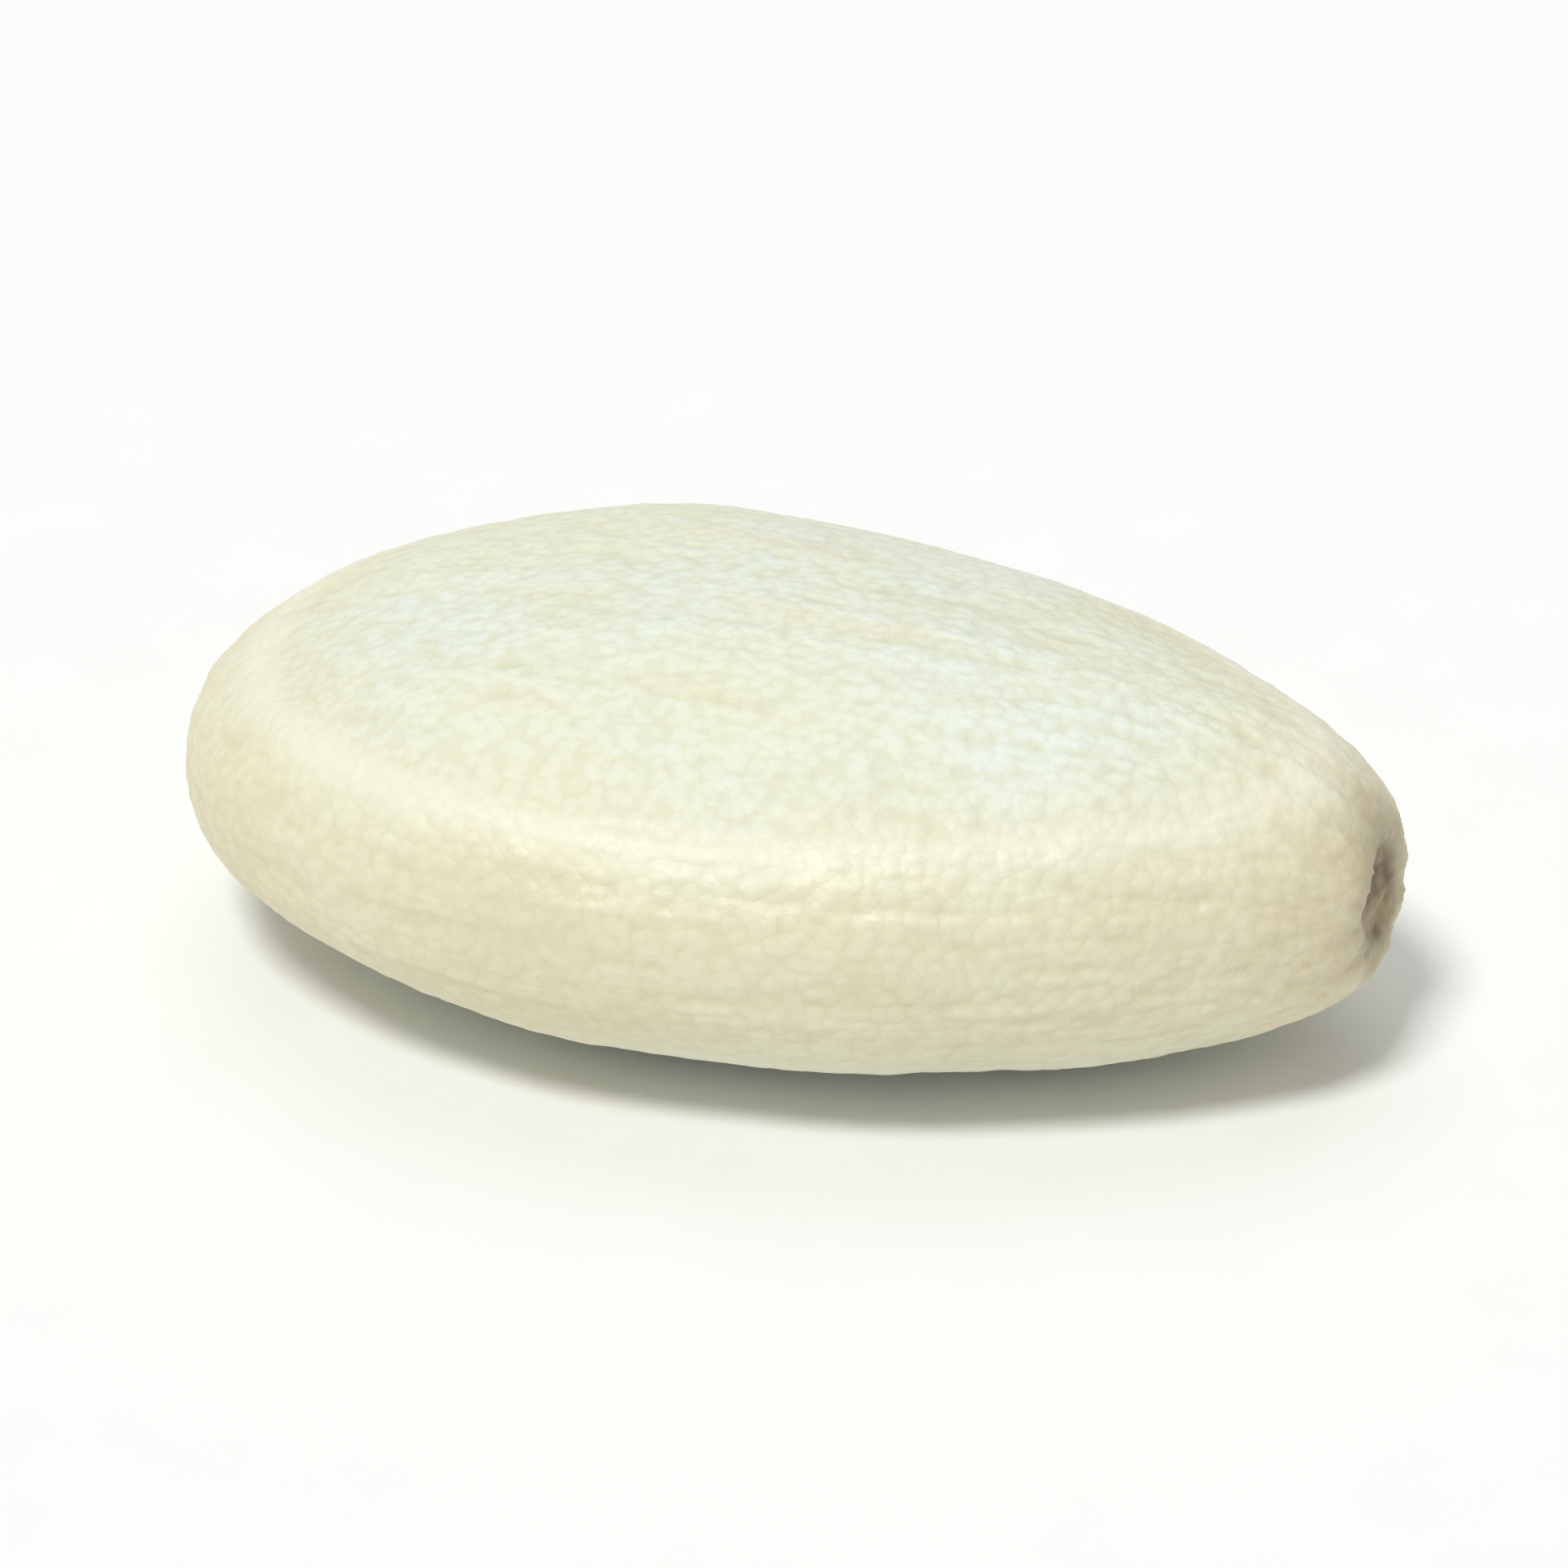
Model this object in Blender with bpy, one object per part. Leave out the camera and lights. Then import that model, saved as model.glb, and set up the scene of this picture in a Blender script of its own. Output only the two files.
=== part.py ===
"""A sesame seed: one flat, drop-shaped seed that lies on its broad face.

Lengths are in metres and +Z is up. The drawn-out end, with the scar where the
seed was attached, points along +X. The origin is under the middle of the seed,
on the surface that it rests on.
"""

import bmesh
import bpy
import numpy as np

MM = 0.001

# Outer size of the seed
LENGTH = 3.1 * MM
WIDTH = 2.0 * MM
THICKNESS = 0.95 * MM

# Outline seen from above
HEART_X = -0.13 * MM  # the middle of the broad part, which the whole skin bulges round
TIP_BLUNTNESS = 0.6  # width left at the drawn-out end, as a share of an ellipse's
DRAW_OUT = 1.5  # how sharply the flanks draw in towards that end
TIP_LEAN = 0.035 * MM  # how far that end leans to one side
TIP_CUT = 0.05 * MM  # length that the blunt end takes off the drawn-out one
TIP_ROUNDING = 0.06 * MM

# Section: an exponent of 2 gives an ellipse, and more gives flatter faces and squarer sides
FACE_EXPONENT = 2.35
SIDE_EXPONENT = 2.2
TIP_FULLNESS = 0.12  # share of the thickness gained from the broad part towards the tip
BROAD_THINNING = 0.22  # share lost from there to the broad end
UPPER_SHARE = 0.53  # share of the thickness above the seed's widest line

# Fine ridge round the margin of each face, and the shallow groove along the side between them
RIM_RISE = 0.009 * MM
RIM_AT = 0.86  # place of the ridge, as a share of the way from the heart to the edge
RIM_HALF_WIDTH = 0.045
GROOVE_DEPTH = 0.008 * MM
GROOVE_HALF_WIDTH = 0.16  # as a share of the seed's height above or below its widest line

# Scar at the drawn-out end: a round pit inside a low collar
SCAR_RADIUS = 0.13 * MM
SCAR_DEPTH = 0.03 * MM
COLLAR_RADIUS = 0.2 * MM
COLLAR_RISE = 0.009 * MM
SCAR_RAISED = 0.03 * MM  # how far the scar sits above the seed's widest line

# Flat spot that the seed rests on, cut this far into the crown of the lower face
REST_DEPTH = 0.01 * MM

# Fineness of the mesh
AROUND = 128
RINGS = 44


def ellipse_share(angle):
    """Half width of the outline before scaling; angle is 0 at the tip and pi at the broad end."""
    drawn_in = TIP_BLUNTNESS + (1 - TIP_BLUNTNESS) * np.sin(np.abs(angle) / 2) ** DRAW_OUT
    return np.sin(angle) * drawn_in


def smooth_step(share):
    share = np.clip(share, 0, 1)
    return share * share * (3 - 2 * share)


def skin(ball):
    """Moves the points of a unit ball to the skin of the seed."""
    turn = np.arctan2(ball[:, 1], ball[:, 0])
    rise = np.clip(ball[:, 2], -1, 1)
    fullest = ellipse_share(np.linspace(0, np.pi, 721)).max()
    edge_x = TIP_CUT / 2 + (LENGTH + TIP_CUT) / 2 * np.cos(turn)
    edge_y = WIDTH / 2 * ellipse_share(turn) / fullest

    # Reach is 0 at the middle of a face and 1 on the seed's widest line
    reach = np.sqrt(1 - rise**2) ** (2 / FACE_EXPONENT)
    groove = GROOVE_DEPTH * np.exp(-((rise / GROOVE_HALF_WIDTH) ** 2))
    inward = reach * (1 - groove / np.hypot(edge_x - HEART_X, edge_y))
    x = HEART_X + (edge_x - HEART_X) * inward
    y = edge_y * inward

    # Both faces are fuller towards the tip than at the broad end, and carry the ridge near their margin
    towards_tip = (x - HEART_X) / (LENGTH / 2 - HEART_X)
    towards_broad = np.clip((HEART_X - x) / (LENGTH / 2 + HEART_X), 0, 1)
    fullness = 1 + TIP_FULLNESS * smooth_step(towards_tip) - BROAD_THINNING * towards_broad**2
    share = np.where(rise > 0, UPPER_SHARE, 1 - UPPER_SHARE)
    depth = THICKNESS * share * fullness
    rim = RIM_RISE * np.exp(-(((reach - RIM_AT) / RIM_HALF_WIDTH) ** 2))
    z = np.sign(rise) * (depth * np.abs(rise) ** (2 / SIDE_EXPONENT) + rim)

    # Blunt end, which the scar and its collar are pressed into along the seed's length
    x = LENGTH / 2 - TIP_ROUNDING * np.log1p(np.exp((LENGTH / 2 - x) / TIP_ROUNDING))
    from_tip = np.hypot(y, z - SCAR_RAISED)
    pit = SCAR_DEPTH * np.exp(-((from_tip / SCAR_RADIUS) ** 4))
    collar = COLLAR_RISE * np.exp(-(((from_tip - COLLAR_RADIUS) / (SCAR_RADIUS / 2)) ** 2))
    near_tip = smooth_step(2 * towards_tip - 1)
    x = x + near_tip * (collar - pit)

    y = y + TIP_LEAN * np.clip(towards_tip, 0, 1) ** 2
    return np.column_stack([x, y, z])


def settle(points):
    """Cuts the flat rest spot, gives the seed its outer size and puts the origin under its middle."""
    points[:, 2] = np.maximum(points[:, 2], points[:, 2].min() + REST_DEPTH)
    low, high = points.min(axis=0), points.max(axis=0)
    share = (points - low) / (high - low) - [0.5, 0.5, 0]
    return share * [LENGTH, WIDTH, THICKNESS]


def seed_mesh():
    ball = bmesh.new()
    bmesh.ops.create_uvsphere(ball, u_segments=AROUND, v_segments=RINGS, radius=1)
    points = settle(skin(np.array([vertex.co for vertex in ball.verts])))
    for vertex, point in zip(ball.verts, points):
        vertex.co = point
    bmesh.ops.recalc_face_normals(ball, faces=ball.faces)
    mesh = bpy.data.meshes.new("seed")
    ball.to_mesh(mesh)
    ball.free()
    mesh.shade_smooth()
    return mesh


def seed_coat():
    """Cream-white, faintly yellow-green, with a soft satin gloss."""
    material = bpy.data.materials.new("seed_coat")
    material.use_nodes = True
    shader = material.node_tree.nodes["Principled BSDF"]
    shader.inputs["Base Color"].default_value = (0.84, 0.83, 0.66, 1)
    shader.inputs["Roughness"].default_value = 0.45
    shader.inputs["Metallic"].default_value = 0
    return material


def main():
    for thing in list(bpy.data.objects):
        bpy.data.objects.remove(thing)
    collection = bpy.data.collections.new("sesame_seed")
    bpy.context.scene.collection.children.link(collection)
    seed = bpy.data.objects.new("seed", seed_mesh())
    seed.data.materials.append(seed_coat())
    collection.objects.link(seed)


main()
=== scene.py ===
"""The looks of a sesame seed: its cream coat with a fine rim round each face, its tan tip and its scar."""

import math

import bmesh
import bpy
import numpy as np
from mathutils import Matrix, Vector, noise


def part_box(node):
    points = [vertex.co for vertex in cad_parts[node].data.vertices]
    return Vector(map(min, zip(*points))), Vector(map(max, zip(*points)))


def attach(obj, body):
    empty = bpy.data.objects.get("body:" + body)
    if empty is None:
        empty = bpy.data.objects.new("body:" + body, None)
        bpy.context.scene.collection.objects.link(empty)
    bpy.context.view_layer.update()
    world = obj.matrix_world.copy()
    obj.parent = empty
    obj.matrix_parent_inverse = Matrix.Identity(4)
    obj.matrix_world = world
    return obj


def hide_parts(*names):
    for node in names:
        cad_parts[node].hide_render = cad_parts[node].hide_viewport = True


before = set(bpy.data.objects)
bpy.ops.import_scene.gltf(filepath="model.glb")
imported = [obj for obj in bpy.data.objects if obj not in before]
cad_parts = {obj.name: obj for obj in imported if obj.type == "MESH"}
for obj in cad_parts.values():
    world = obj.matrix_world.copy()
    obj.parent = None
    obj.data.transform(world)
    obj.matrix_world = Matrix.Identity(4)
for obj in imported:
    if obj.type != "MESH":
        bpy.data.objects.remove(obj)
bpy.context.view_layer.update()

MM = 0.001

# Outer size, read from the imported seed
SEED_LOW, SEED_HIGH = (np.array(corner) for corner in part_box("seed"))
LENGTH, WIDTH, THICKNESS = SEED_HIGH - SEED_LOW

# Outline seen from above
HEART_X = -0.13 * MM  # the middle of the broad part, which the whole skin bulges round
TIP_BLUNTNESS = 0.6  # width left at the drawn-out end, as a share of an ellipse's
DRAW_OUT = 1.5  # how sharply the flanks draw in towards that end
TIP_LEAN = 0.035 * MM  # how far that end leans to one side
TIP_CUT = 0.05 * MM  # length that the blunt end takes off the drawn-out one
TIP_ROUNDING = 0.06 * MM

# Section: an exponent of 2 gives an ellipse, and more gives flatter faces and squarer sides
FACE_EXPONENT = 2.35
SIDE_EXPONENT = 2.2
TIP_FULLNESS = 0.12  # share of the thickness gained from the broad part towards the tip
BROAD_THINNING = 0.22  # share lost from there to the broad end
UPPER_SHARE = 0.53  # share of the thickness above the seed's widest line

# Fine ridge round the margin of each face, and the shallow groove along the side between them
RIM_RISE = 0.009 * MM
RIM_AT = 0.86  # place of the ridge, as a share of the way from the heart to the edge
RIM_HALF_WIDTH = 0.045
FACE_END = 0.62  # where a face's paler colour, which is painted light, starts to turn into the side's warmer painted shade
GROOVE_DEPTH = 0.008 * MM
GROOVE_HALF_WIDTH = 0.16  # as a share of the seed's height above or below its widest line

# Scar at the drawn-out end: a round pit inside a low collar
SCAR_RADIUS = 0.13 * MM
SCAR_DEPTH = 0.03 * MM
SCAR_STEEPNESS = 4  # how sharply the pit's wall drops
COLLAR_RADIUS = 0.2 * MM
COLLAR_RISE = 0.009 * MM
SCAR_RAISED = 0.03 * MM  # how far the scar sits above the seed's widest line
SCAR_RAGGEDNESS = 0.07  # how uneven the scar's edge is
RAGGED_WAVES = ((3, 1.0, 0.7), (5, 0.6, 2.1), (8, 0.4, 0.0))  # count, height and start of its waves
STAIN_RADIUS = 0.21 * MM  # the brown that spreads from the scar over its collar
STAIN_TALLNESS = 1.3  # its height over its width
STAIN_STEEPNESS = 3  # how sharply it ends
NUB_RADIUS = 0.035 * MM  # the small knob in the middle of the scar
NUB_RISE = 0.016 * MM
REST_DEPTH = 0.01 * MM  # depth of the flat spot cut into the crown of the lower face

# Fineness of the coat's mesh, which has just under twice their product in triangles
AROUND = 400
RINGS = 240


def smooth_step(share):
    share = np.clip(share, 0, 1)
    return share * share * (3 - 2 * share)


def bump_at(value, middle, half_width):
    """1 at the middle, falling away over the half width."""
    return np.exp(-(((value - middle) / half_width) ** 2))


def ellipse_share(angle):
    """Half width of the outline before scaling; angle is 0 at the tip and pi at the broad end."""
    drawn_in = TIP_BLUNTNESS + (1 - TIP_BLUNTNESS) * np.sin(np.abs(angle) / 2) ** DRAW_OUT
    return np.sin(angle) * drawn_in


def skin(ball):
    """Moves the points of a unit ball to the skin of the seed, and says where each one lies on it."""
    turn = np.arctan2(ball[:, 1], ball[:, 0])
    rise = np.clip(ball[:, 2], -1, 1)
    fullest = ellipse_share(np.linspace(0, np.pi, 721)).max()
    edge_x = TIP_CUT / 2 + (LENGTH + TIP_CUT) / 2 * np.cos(turn)
    edge_y = WIDTH / 2 * ellipse_share(turn) / fullest

    # Reach is 0 at the middle of a face and 1 on the seed's widest line
    reach = np.sqrt(1 - rise**2) ** (2 / FACE_EXPONENT)
    groove = bump_at(rise, 0, GROOVE_HALF_WIDTH)
    inward = reach * (1 - GROOVE_DEPTH * groove / np.hypot(edge_x - HEART_X, edge_y))
    x = HEART_X + (edge_x - HEART_X) * inward
    y = edge_y * inward

    # Both faces are fuller towards the tip than at the broad end, and carry the ridge near their margin
    towards_tip = (x - HEART_X) / (LENGTH / 2 - HEART_X)
    towards_broad = np.clip((HEART_X - x) / (LENGTH / 2 + HEART_X), 0, 1)
    fullness = 1 + TIP_FULLNESS * smooth_step(towards_tip) - BROAD_THINNING * towards_broad**2
    share = np.where(rise > 0, UPPER_SHARE, 1 - UPPER_SHARE)
    depth = THICKNESS * share * fullness
    rim = bump_at(reach, RIM_AT, RIM_HALF_WIDTH)
    z = np.sign(rise) * (depth * np.abs(rise) ** (2 / SIDE_EXPONENT) + RIM_RISE * rim)

    # Blunt end, which the scar and its collar are pressed into along the seed's length
    x = LENGTH / 2 - TIP_ROUNDING * np.log1p(np.exp((LENGTH / 2 - x) / TIP_ROUNDING))
    round_tip = np.arctan2(z - SCAR_RAISED, y)
    waved = sum(height * np.sin(count * round_tip + start) for count, height, start in RAGGED_WAVES)
    ragged = 1 + SCAR_RAGGEDNESS * waved
    from_tip = np.hypot(y, z - SCAR_RAISED) * ragged
    near_tip = smooth_step(2 * towards_tip - 1)
    scar = near_tip * np.exp(-((from_tip / SCAR_RADIUS) ** SCAR_STEEPNESS))
    collar = near_tip * bump_at(from_tip, COLLAR_RADIUS, SCAR_RADIUS / 2)
    nub = near_tip * bump_at(from_tip, 0, NUB_RADIUS)
    from_stain = np.hypot(y, (z - SCAR_RAISED) / STAIN_TALLNESS) * ragged
    stain = near_tip * np.exp(-((from_stain / STAIN_RADIUS) ** STAIN_STEEPNESS))
    x = x + COLLAR_RISE * collar - SCAR_DEPTH * scar + NUB_RISE * nub

    y = y + TIP_LEAN * np.clip(towards_tip, 0, 1) ** 2
    # Mask for painted light: the faces take a paler, cooler colour than the sides, which take a warmer
    # painted shade
    lit_face = 1 - smooth_step((reach - FACE_END) / (1 - FACE_END))
    zones = {"rim": rim, "lit_face": lit_face, "scar": scar, "collar": collar, "nub": nub, "stain": stain,
             "towards_tip": towards_tip}
    return np.column_stack([x, y, z]), zones


def settle(points):
    """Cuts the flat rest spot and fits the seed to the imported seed's box."""
    points[:, 2] = np.maximum(points[:, 2], points[:, 2].min() + REST_DEPTH)
    low, high = points.min(axis=0), points.max(axis=0)
    return SEED_LOW + (points - low) / (high - low) * (SEED_HIGH - SEED_LOW)


# Fine relief of the coat: how high each kind stands, and how far it is from one wave to the next
SWELL_HEIGHT = 0.016 * MM
SWELL_SIZE = 0.75 * MM
WRINKLE_HEIGHT = 0.006 * MM
WRINKLES_ACROSS = 11  # waves from the middle of the seed to its edge
WRINKLES_ALONG = 1.6  # waves from its middle to either end
WRINKLES_AT_BROAD_END = 0.6  # their height there, as a share of that at the tip
GIRTH_AT_ENDS = 0.4  # their spacing at both ends, as a share of that round the middle
GRAIN_HEIGHT = 0.0032 * MM
GRAIN_SIZE = 0.07 * MM
CREASE_HEIGHT = 0.005 * MM
CREASES_ROUND_TIP = 4.5  # waves in each radian round the tip
CREASES_AT = 0.97  # where they are deepest, as a share of the way from the heart to the tip
CREASES_HALF_LENGTH = 0.16
CREASE_DRIFT = 0.25  # how much they change along the seed
SCAR_GRAIN_HEIGHT = 0.007 * MM
SCAR_GRAIN_SIZE = 0.05 * MM
HOLLOW_SHADE_DEPTH = 0.006 * MM  # depth at which a hollow has its full painted shade, a darker colour
WAVE_SMOOTHNESS = 0.9  # how quickly the finer waves lose height
WAVE_RATIO = 2.0  # how much finer each is than the last


def waves(points, octaves):
    """Smooth noise at each point, about -1 to 1, with finer waves added for each octave."""
    return np.array([noise.fractal(Vector(point), WAVE_SMOOTHNESS, WAVE_RATIO, octaves) for point in points])


def relief(ball, points, zones):
    """Height of the fine relief over the smooth skin."""
    swell = SWELL_HEIGHT * waves(points / SWELL_SIZE, 2)

    # The wrinkles run along the seed and draw together at both ends
    girth = GIRTH_AT_ENDS + (1 - GIRTH_AT_ENDS) * np.hypot(ball[:, 1], ball[:, 2])[:, None]
    along = ball * np.hstack([0 * girth + WRINKLES_ALONG, WRINKLES_ACROSS / girth, WRINKLES_ACROSS / girth])
    gain = (1 - WRINKLES_AT_BROAD_END) * smooth_step(zones["towards_tip"])
    wrinkle = WRINKLE_HEIGHT * (WRINKLES_AT_BROAD_END + gain) * waves(along, 3)
    grain = GRAIN_HEIGHT * waves(points / GRAIN_SIZE, 3)
    round_tip = np.arctan2(points[:, 2], points[:, 1])
    rays = np.column_stack([np.cos(round_tip), np.sin(round_tip), CREASE_DRIFT * zones["towards_tip"]])
    fading = bump_at(zones["towards_tip"], CREASES_AT, CREASES_HALF_LENGTH) * (1 - zones["scar"])
    crease = CREASE_HEIGHT * fading * waves(CREASES_ROUND_TIP * rays, 2)
    crumbs = SCAR_GRAIN_HEIGHT * zones["scar"] * waves(points / SCAR_GRAIN_SIZE, 2)
    # Painted shade: how deep each point lies in the relief's hollows, to darken its colour there
    zones["hollow_shade"] = np.clip(-(wrinkle + grain + crease + crumbs) / HOLLOW_SHADE_DEPTH, 0, 1)
    return swell + wrinkle + grain + crease + crumbs


def seed_coat_mesh():
    ball = bmesh.new()
    bmesh.ops.create_uvsphere(ball, u_segments=AROUND, v_segments=RINGS, radius=1)
    bmesh.ops.recalc_face_normals(ball, faces=ball.faces)
    mesh = bpy.data.meshes.new("seed_coat")
    ball.to_mesh(mesh)
    ball.free()
    count = len(mesh.vertices)
    on_ball = np.empty(3 * count, np.float32)
    mesh.vertices.foreach_get("co", on_ball)
    on_ball = on_ball.reshape(-1, 3).astype(float)
    points, zones = skin(on_ball)
    mesh.vertices.foreach_set("co", points.astype(np.float32).ravel())
    mesh.update()
    outward = np.empty(3 * count, np.float32)
    mesh.vertex_normals.foreach_get("vector", outward)
    points = points + outward.reshape(-1, 3) * relief(on_ball, points, zones)[:, None]
    mesh.vertices.foreach_set("co", settle(points).astype(np.float32).ravel())
    for name, amount in zones.items():
        mesh.attributes.new(name, "FLOAT", "POINT").data.foreach_set("value", amount.astype(np.float32))
    mesh.update()
    mesh.shade_smooth()
    return mesh


# Shader node helpers

def new_node(tree, kind, **settings):
    node = tree.nodes.new(kind)
    for name, value in settings.items():
        setattr(node, name, value)
    return node


def feed(tree, node, **sources):
    """Sets or links the named sockets of a node."""
    for name, source in sources.items():
        socket = node.inputs[name.replace("_", " ")]
        if isinstance(source, bpy.types.NodeSocket):
            tree.links.new(source, socket)
        else:
            socket.default_value = source
    return node


def math_node(tree, operation, first, second=0.0, clamp=False):
    node = new_node(tree, "ShaderNodeMath", operation=operation, use_clamp=clamp)
    for socket, source in zip(node.inputs, (first, second)):
        if isinstance(source, bpy.types.NodeSocket):
            tree.links.new(source, socket)
        else:
            socket.default_value = source
    return node.outputs[0]


def scaled(tree, value, share):
    return math_node(tree, "MULTIPLY", value, share)


def zone(tree, name):
    return new_node(tree, "ShaderNodeAttribute", attribute_name=name).outputs["Fac"]


def blend_colours(tree, amount, first, second):
    node = new_node(tree, "ShaderNodeMix", data_type="RGBA")
    for socket, source in ((node.inputs[0], amount), (node.inputs[6], first), (node.inputs[7], second)):
        if isinstance(source, bpy.types.NodeSocket):
            tree.links.new(source, socket)
        else:
            socket.default_value = source if isinstance(source, float) else (*source, 1)
    return node.outputs[2]


def spread(tree, value, span, to=(0.0, 1.0)):
    """Stretches the span of a value to another range, clamped."""
    node = new_node(tree, "ShaderNodeMapRange", interpolation_type="SMOOTHSTEP")
    feed(tree, node, Value=value, From_Min=span[0], From_Max=span[1], To_Min=to[0], To_Max=to[1])
    return node.outputs["Result"]


# Fine grain: how high its domes stand and how rough they are
DOME_HEIGHT = 0.6
ROUGH_HEIGHT = 0.5


def fine_grain_group():
    """Fine uneven grain: a height for a Bump node and a mask for colour, both about 0 to 1."""
    tree = bpy.data.node_groups.new("fine_grain", "ShaderNodeTree")
    for name, default in (("Grains per metre", 20000.0), ("Evenness", 0.5)):
        socket = tree.interface.new_socket(name, in_out="INPUT", socket_type="NodeSocketFloat")
        socket.default_value = default
    for name in ("Height", "Mask"):
        tree.interface.new_socket(name, in_out="OUTPUT", socket_type="NodeSocketFloat")
    inside = new_node(tree, "NodeGroupInput")
    outside = new_node(tree, "NodeGroupOutput")
    place = new_node(tree, "ShaderNodeTexCoord").outputs["Object"]
    fine = new_node(tree, "ShaderNodeTexNoise")
    feed(tree, fine, Vector=place, Scale=inside.outputs[0], Detail=4.0, Roughness=inside.outputs[1])
    cells = feed(tree, new_node(tree, "ShaderNodeTexVoronoi"), Vector=place, Scale=inside.outputs[0])
    domes = scaled(tree, math_node(tree, "SUBTRACT", 1.0, cells.outputs["Distance"]), DOME_HEIGHT)
    height = math_node(tree, "ADD", domes, scaled(tree, fine.outputs["Fac"], ROUGH_HEIGHT))
    tree.links.new(height, outside.inputs["Height"])
    tree.links.new(fine.outputs["Fac"], outside.inputs["Mask"])
    return tree


def place_grain(tree, grain, per_metre, evenness):
    node = new_node(tree, "ShaderNodeGroup", node_tree=grain)
    node.inputs["Grains per metre"].default_value = per_metre
    node.inputs["Evenness"].default_value = evenness
    return node


def new_material(name):
    material = bpy.data.materials.new(name)
    material.use_nodes = True
    tree = material.node_tree
    return material, tree, tree.nodes["Principled BSDF"]


# Colours of the coat, as linear red, green and blue. The paler face colours are painted light and the side
# colours painted shade; the warm side colour also tints the streaks and flecks
LIT_FACE_PALE = (0.79, 0.845, 0.765)
LIT_FACE_CREAM = (0.80, 0.83, 0.675)
SHADED_SIDE_CREAM = (0.81, 0.785, 0.585)
SHADED_SIDE_AND_FLECK_WARM = (0.79, 0.735, 0.515)
# Olive painted shade, for the hollows of the relief and the crevices between cells
SHADE_OLIVE = (0.66, 0.62, 0.40)
# Painted highlight along the ridge round each face
RIM_HIGHLIGHT_CREAM = (0.87, 0.86, 0.70)
TIP_TAN = (0.70, 0.57, 0.35)
STAIN_TAN = (0.43, 0.37, 0.235)
SCAR_BROWN = (0.19, 0.145, 0.085)
SCAR_BEIGE = (0.44, 0.35, 0.22)
COLLAR_BEIGE = (0.76, 0.70, 0.53)

# Fineness of the coat's colours, in waves or cells per metre
PATCHES = 1100.0
FLECKS = 9000.0
STREAK_STRETCH = (0.16, 1.0, 1.0)  # streaks are flecks drawn out along the seed
CELLS = 26000.0
CELL_EVENNESS = 0.6

# Span of a noise or zone over which each mark comes in
PATCH_SPAN = (0.38, 0.62)
STREAK_SPAN = (0.5, 0.72)
FLECK_SPAN = (0.52, 0.75)
# Painted shade in the crevices between the coat's cells, coming in as the cell height falls
CREVICE_SHADE_SPAN = (0.62, 0.4)
TAN_SPAN = (0.82, 1.08)
STAIN_SPAN = (0.1, 0.95)
PIT_SPAN = (0.15, 0.85)
CRUMB_SPAN = (0.4, 0.62)

# Share of its own colour that a mark reaches, from none to this
STREAK_SHARE = (0.0, 0.4)
FLECK_SHARE = (0.0, 0.3)
# Share of painted shade in the crevices between cells
CREVICE_SHADE_SHARE = (0.0, 0.28)
TAN_SHARE = (0.0, 0.7)
STAIN_SHARE = (0.0, 0.75)
# Share of the olive painted shade in the deepest hollows
HOLLOW_SHADE_STRENGTH = 0.4
# Share of the painted highlight on the rim's ridge
RIM_HIGHLIGHT_STRENGTH = 0.7
COLLAR_STRENGTH = 0.3
NUB_STRENGTH = 0.7

# How far noise breaks up a mark's edge
TAN_UNEVENNESS = 0.3
STAIN_UNEVENNESS = 0.45
PIT_UNEVENNESS = 0.42

# Gloss, and the fine bumps that only the light shows
GLOSS_SPAN = (0.3, 0.7)
ROUGHNESS = (0.43, 0.57)
SCAR_DULLNESS = 0.35
BUMP_STRENGTH = 0.8
BUMP_HEIGHT = 0.01 * MM


def noise_value(tree, place, per_metre, detail):
    node = feed(tree, new_node(tree, "ShaderNodeTexNoise"), Vector=place, Scale=per_metre, Detail=detail)
    return node.outputs["Fac"]


def uneven_zone(tree, name, value, unevenness):
    """A zone with its edge broken up by a noise, whose middle value is 0.5."""
    uneven = scaled(tree, math_node(tree, "SUBTRACT", value, 0.5), unevenness)
    return math_node(tree, "ADD", zone(tree, name), uneven)


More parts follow.
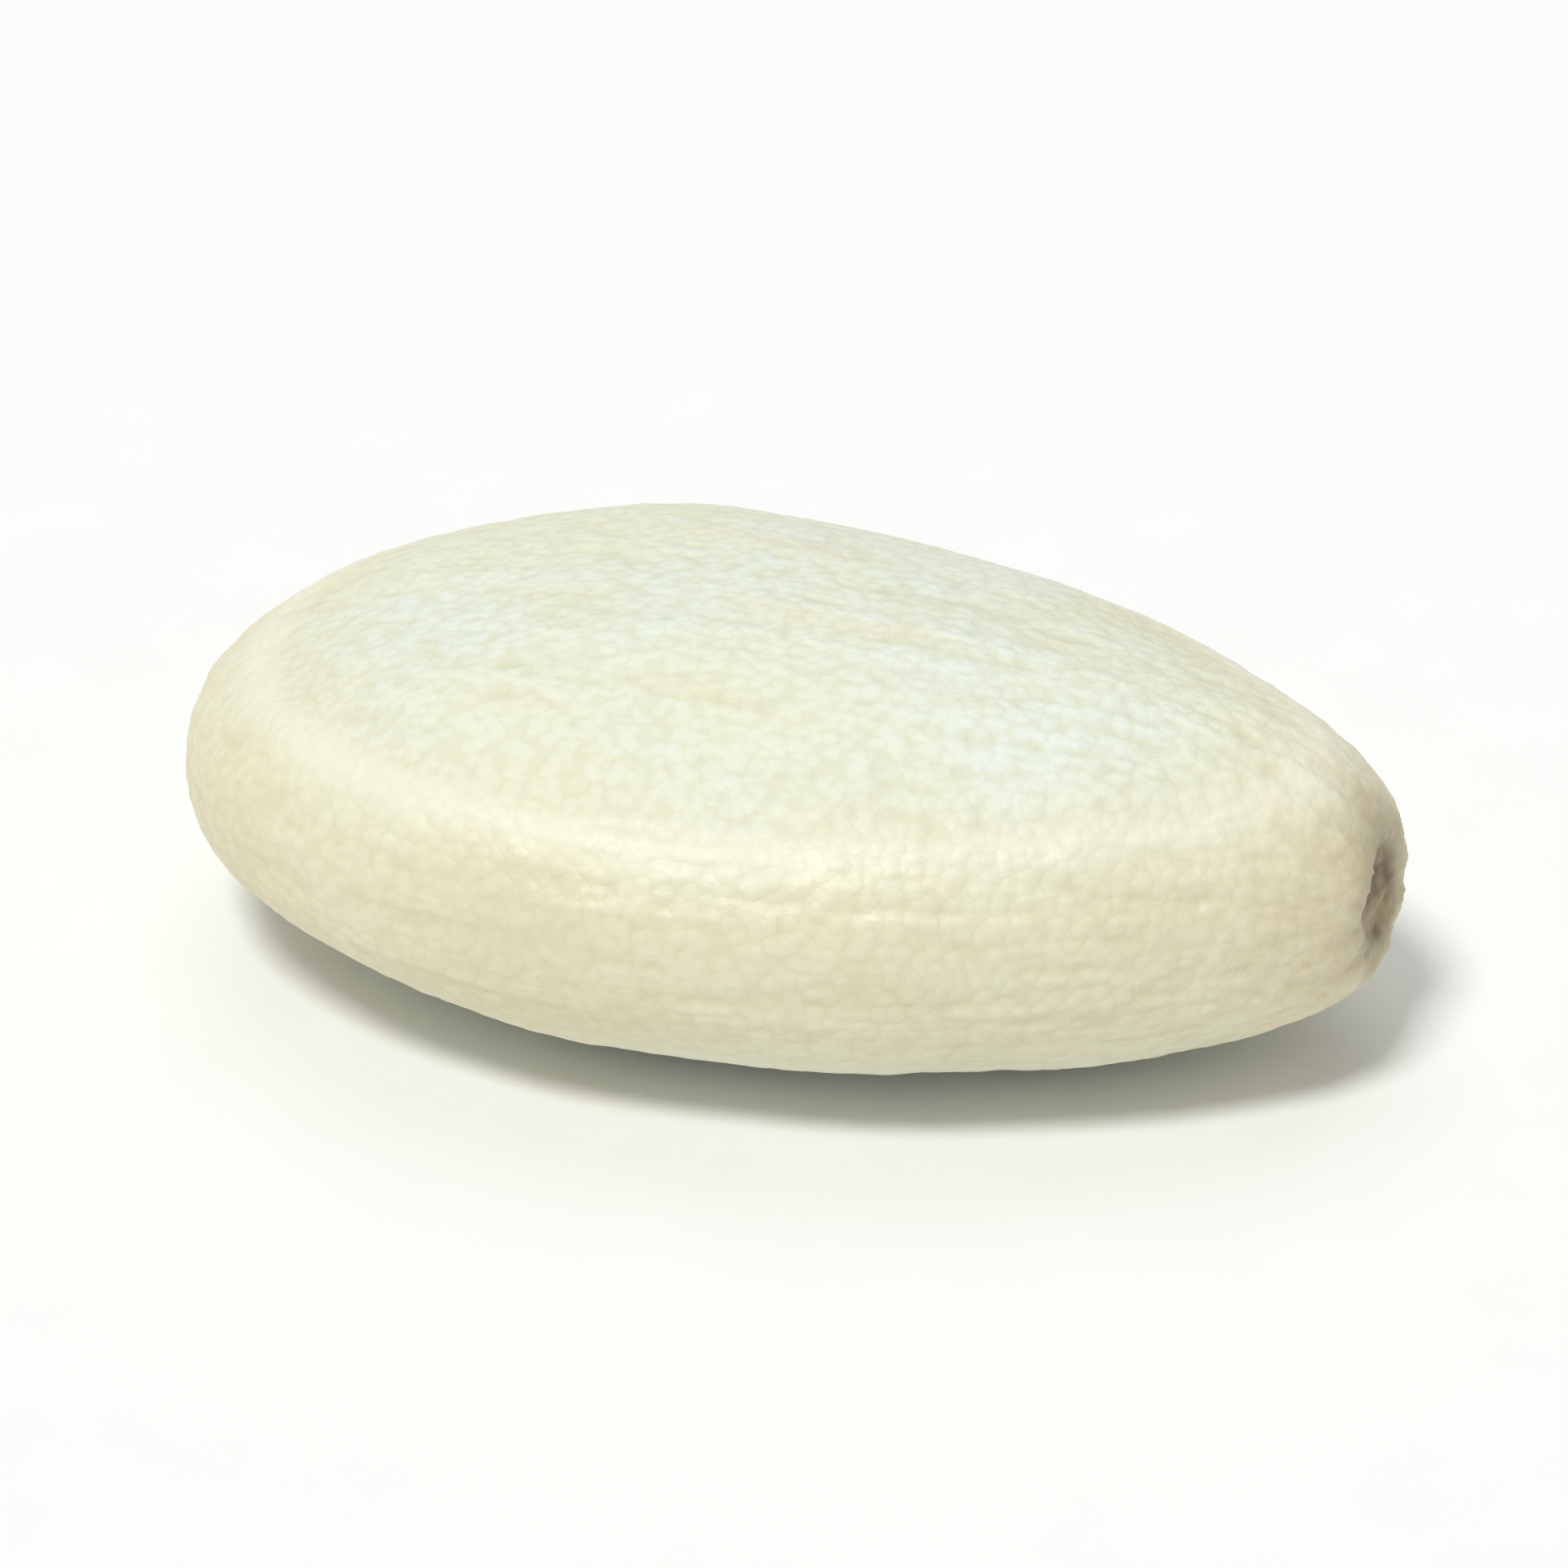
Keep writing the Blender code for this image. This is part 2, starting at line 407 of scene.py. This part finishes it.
def coat_material(grain):
    """Cream coat: paler faces as painted light, warmer sides as painted shade, painted shade in hollows and
    between cells, a painted highlight along each rim, fine streaks along it, and tan to brown at the tip.
    """
    material, tree, shader = new_material("sesame_coat")
    place = new_node(tree, "ShaderNodeTexCoord").outputs["Object"]
    broad = noise_value(tree, place, PATCHES, detail=3.0)
    fine = noise_value(tree, place, FLECKS, detail=5.0)
    drawn_out = feed(tree, new_node(tree, "ShaderNodeMapping"), Vector=place, Scale=STREAK_STRETCH)
    streaks = noise_value(tree, drawn_out.outputs["Vector"], FLECKS, detail=4.0)
    cells = place_grain(tree, grain, CELLS, CELL_EVENNESS).outputs["Height"]

    patches = spread(tree, broad, PATCH_SPAN)
    # Painted light and shade: paler, cooler faces and warmer sides, each broken by random patches
    lit_face = blend_colours(tree, patches, LIT_FACE_CREAM, LIT_FACE_PALE)
    shaded_side = blend_colours(tree, patches, SHADED_SIDE_AND_FLECK_WARM, SHADED_SIDE_CREAM)
    colour = blend_colours(tree, zone(tree, "lit_face"), shaded_side, lit_face)
    colour = blend_colours(tree, spread(tree, streaks, STREAK_SPAN, STREAK_SHARE), colour, SHADED_SIDE_AND_FLECK_WARM)
    colour = blend_colours(tree, spread(tree, fine, FLECK_SPAN, FLECK_SHARE), colour, SHADED_SIDE_AND_FLECK_WARM)
    # Painted shade in the relief's hollows
    colour = blend_colours(tree, scaled(tree, zone(tree, "hollow_shade"), HOLLOW_SHADE_STRENGTH), colour, SHADE_OLIVE)
    # Painted shade in the crevices between the cells
    colour = blend_colours(tree, spread(tree, cells, CREVICE_SHADE_SPAN, CREVICE_SHADE_SHARE), colour, SHADE_OLIVE)
    # Painted highlight along the ridge round each face's margin
    colour = blend_colours(tree, scaled(tree, zone(tree, "rim"), RIM_HIGHLIGHT_STRENGTH), colour, RIM_HIGHLIGHT_CREAM)

    tan = spread(tree, uneven_zone(tree, "towards_tip", fine, TAN_UNEVENNESS), TAN_SPAN, TAN_SHARE)
    colour = blend_colours(tree, tan, colour, TIP_TAN)
    colour = blend_colours(tree, scaled(tree, zone(tree, "collar"), COLLAR_STRENGTH), colour, COLLAR_BEIGE)
    stain = spread(tree, uneven_zone(tree, "stain", fine, STAIN_UNEVENNESS), STAIN_SPAN, STAIN_SHARE)
    colour = blend_colours(tree, stain, colour, STAIN_TAN)
    scar = blend_colours(tree, spread(tree, fine, CRUMB_SPAN), SCAR_BROWN, SCAR_BEIGE)
    scar = blend_colours(tree, scaled(tree, zone(tree, "nub"), NUB_STRENGTH), scar, SCAR_BEIGE)
    pit = spread(tree, uneven_zone(tree, "scar", fine, PIT_UNEVENNESS), PIT_SPAN)
    colour = blend_colours(tree, pit, colour, scar)
    tree.links.new(colour, shader.inputs["Base Color"])

    dullness = scaled(tree, zone(tree, "scar"), SCAR_DULLNESS)
    rough = math_node(tree, "ADD", spread(tree, fine, GLOSS_SPAN, ROUGHNESS), dullness, clamp=True)
    tree.links.new(rough, shader.inputs["Roughness"])

    bump = feed(tree, new_node(tree, "ShaderNodeBump"), Height=cells, Strength=BUMP_STRENGTH,
                Distance=BUMP_HEIGHT)
    tree.links.new(bump.outputs["Normal"], shader.inputs["Normal"])
    feed(tree, shader, Subsurface_Weight=0.25, Subsurface_Radius=(1.0, 0.8, 0.45), Subsurface_Scale=0.22 * MM,
         Coat_Weight=0.07, Coat_Roughness=0.35)
    return material


# Floor: a plain white surface
FLOOR_PALE = (0.90, 0.90, 0.89)
FLOOR_WHITE = (0.93, 0.93, 0.92)
FLOOR_GRAINS = 3000.0  # per metre
FLOOR_EVENNESS = 0.4
FLOOR_HALF = 0.4  # metres from its middle to each side
FLOOR_DROP = 0.001 * MM  # keeps the floor clear of the seed's flat spot


def floor_material(grain):
    """Plain white, in two barely different shades."""
    material, tree, shader = new_material("pale_floor")
    mask = place_grain(tree, grain, FLOOR_GRAINS, FLOOR_EVENNESS).outputs["Mask"]
    colour = blend_colours(tree, mask, FLOOR_PALE, FLOOR_WHITE)
    tree.links.new(colour, shader.inputs["Base Color"])
    feed(tree, shader, Roughness=0.75)
    return material


def add_object(name, data, place=(0, 0, 0)):
    thing = bpy.data.objects.new(name, data)
    thing.location = place
    bpy.context.scene.collection.objects.link(thing)
    return thing


def add_seed(material):
    seed = add_object("sesame_seed", seed_coat_mesh())
    seed.data.materials.append(material)
    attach(seed, "root")
    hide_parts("seed")
    return seed


def add_floor(material):
    flat = bmesh.new()
    bmesh.ops.create_grid(flat, x_segments=1, y_segments=1, size=FLOOR_HALF)
    mesh = bpy.data.meshes.new("floor")
    flat.to_mesh(mesh)
    flat.free()
    mesh.materials.append(material)
    add_object("floor", mesh, (0, 0, -FLOOR_DROP))


# Light: the main one above and in front, a weaker and cooler one behind, and a pale surround
LIGHTS = {
    "above": {"turn": 166, "height": 63, "strength": 1.9, "spread": 16, "colour": (1.0, 1.0, 0.985)},
    "behind": {"turn": 20, "height": 60, "strength": 0.6, "spread": 50, "colour": (0.93, 0.97, 1.0)},
}
LIGHT_AWAY = 0.04  # in metres, and it changes nothing in how these lights shine
SURROUND = 0.38
SURROUND_COLOUR = (1.0, 1.0, 0.98)
BACKDROP = (0.925, 0.93, 0.91)


def aim(thing, target):
    direction = Vector(target) - thing.location
    thing.rotation_mode = "QUATERNION"
    thing.rotation_quaternion = direction.to_track_quat("-Z", "Y")


def round_point(turn, height, away):
    """The point this far away, at a turn about +Z from +Y towards -X and a height, in degrees."""
    turn, height = math.radians(turn), math.radians(height)
    flat = away * math.cos(height)
    return Vector((-flat * math.sin(turn), flat * math.cos(turn), away * math.sin(height)))


def add_lights():
    for name, at in LIGHTS.items():
        light = bpy.data.lights.new(name, "SUN")
        light.angle = math.radians(at["spread"])
        light.energy = at["strength"]
        light.color = at["colour"]
        aim(add_object(name, light, round_point(at["turn"], at["height"], LIGHT_AWAY)), (0, 0, 0))


def add_surround():
    """A pale surround that lights the seed softly, and shows as a plain backdrop as pale as the floor."""
    world = bpy.data.worlds.new("surround")
    bpy.context.scene.world = world
    world.use_nodes = True
    tree = world.node_tree
    glow = tree.nodes["Background"]
    feed(tree, glow, Color=(*SURROUND_COLOUR, 1), Strength=SURROUND)
    backdrop = feed(tree, new_node(tree, "ShaderNodeBackground"), Color=(*BACKDROP, 1))
    seen = new_node(tree, "ShaderNodeMixShader")
    tree.links.new(new_node(tree, "ShaderNodeLightPath").outputs["Is Camera Ray"], seen.inputs[0])
    tree.links.new(glow.outputs[0], seen.inputs[1])
    tree.links.new(backdrop.outputs[0], seen.inputs[2])
    tree.links.new(seen.outputs[0], tree.nodes["World Output"].inputs["Surface"])


# Camera: the photograph's angle on this seed, whose tip comes a little towards it
CAMERA_TURN = 22
CAMERA_HEIGHT = 29
LENS = 150  # its length in mm, as for the sensor's width
SENSOR = 36
WIDTH_SHARE = 0.8  # share of the frame's width that a seed seen square on would take
CLIP_SPAN = 50  # what is this many times nearer or farther than the seed is cut off


def add_camera():
    data = bpy.data.cameras.new("camera")
    data.lens, data.sensor_width = LENS, SENSOR
    view_width = LENGTH / WIDTH_SHARE
    away = view_width * LENS / SENSOR
    middle = Vector((0, 0, THICKNESS / 2))
    camera = add_object("camera", data, middle + round_point(180 + CAMERA_TURN, CAMERA_HEIGHT, away))
    aim(camera, middle)
    data.clip_start, data.clip_end = away / CLIP_SPAN, away * CLIP_SPAN
    bpy.context.scene.camera = camera


def main():
    bpy.context.scene.view_settings.view_transform = "Standard"
    grain = fine_grain_group()
    add_seed(coat_material(grain))
    add_floor(floor_material(grain))
    add_lights()
    add_surround()
    add_camera()


main()
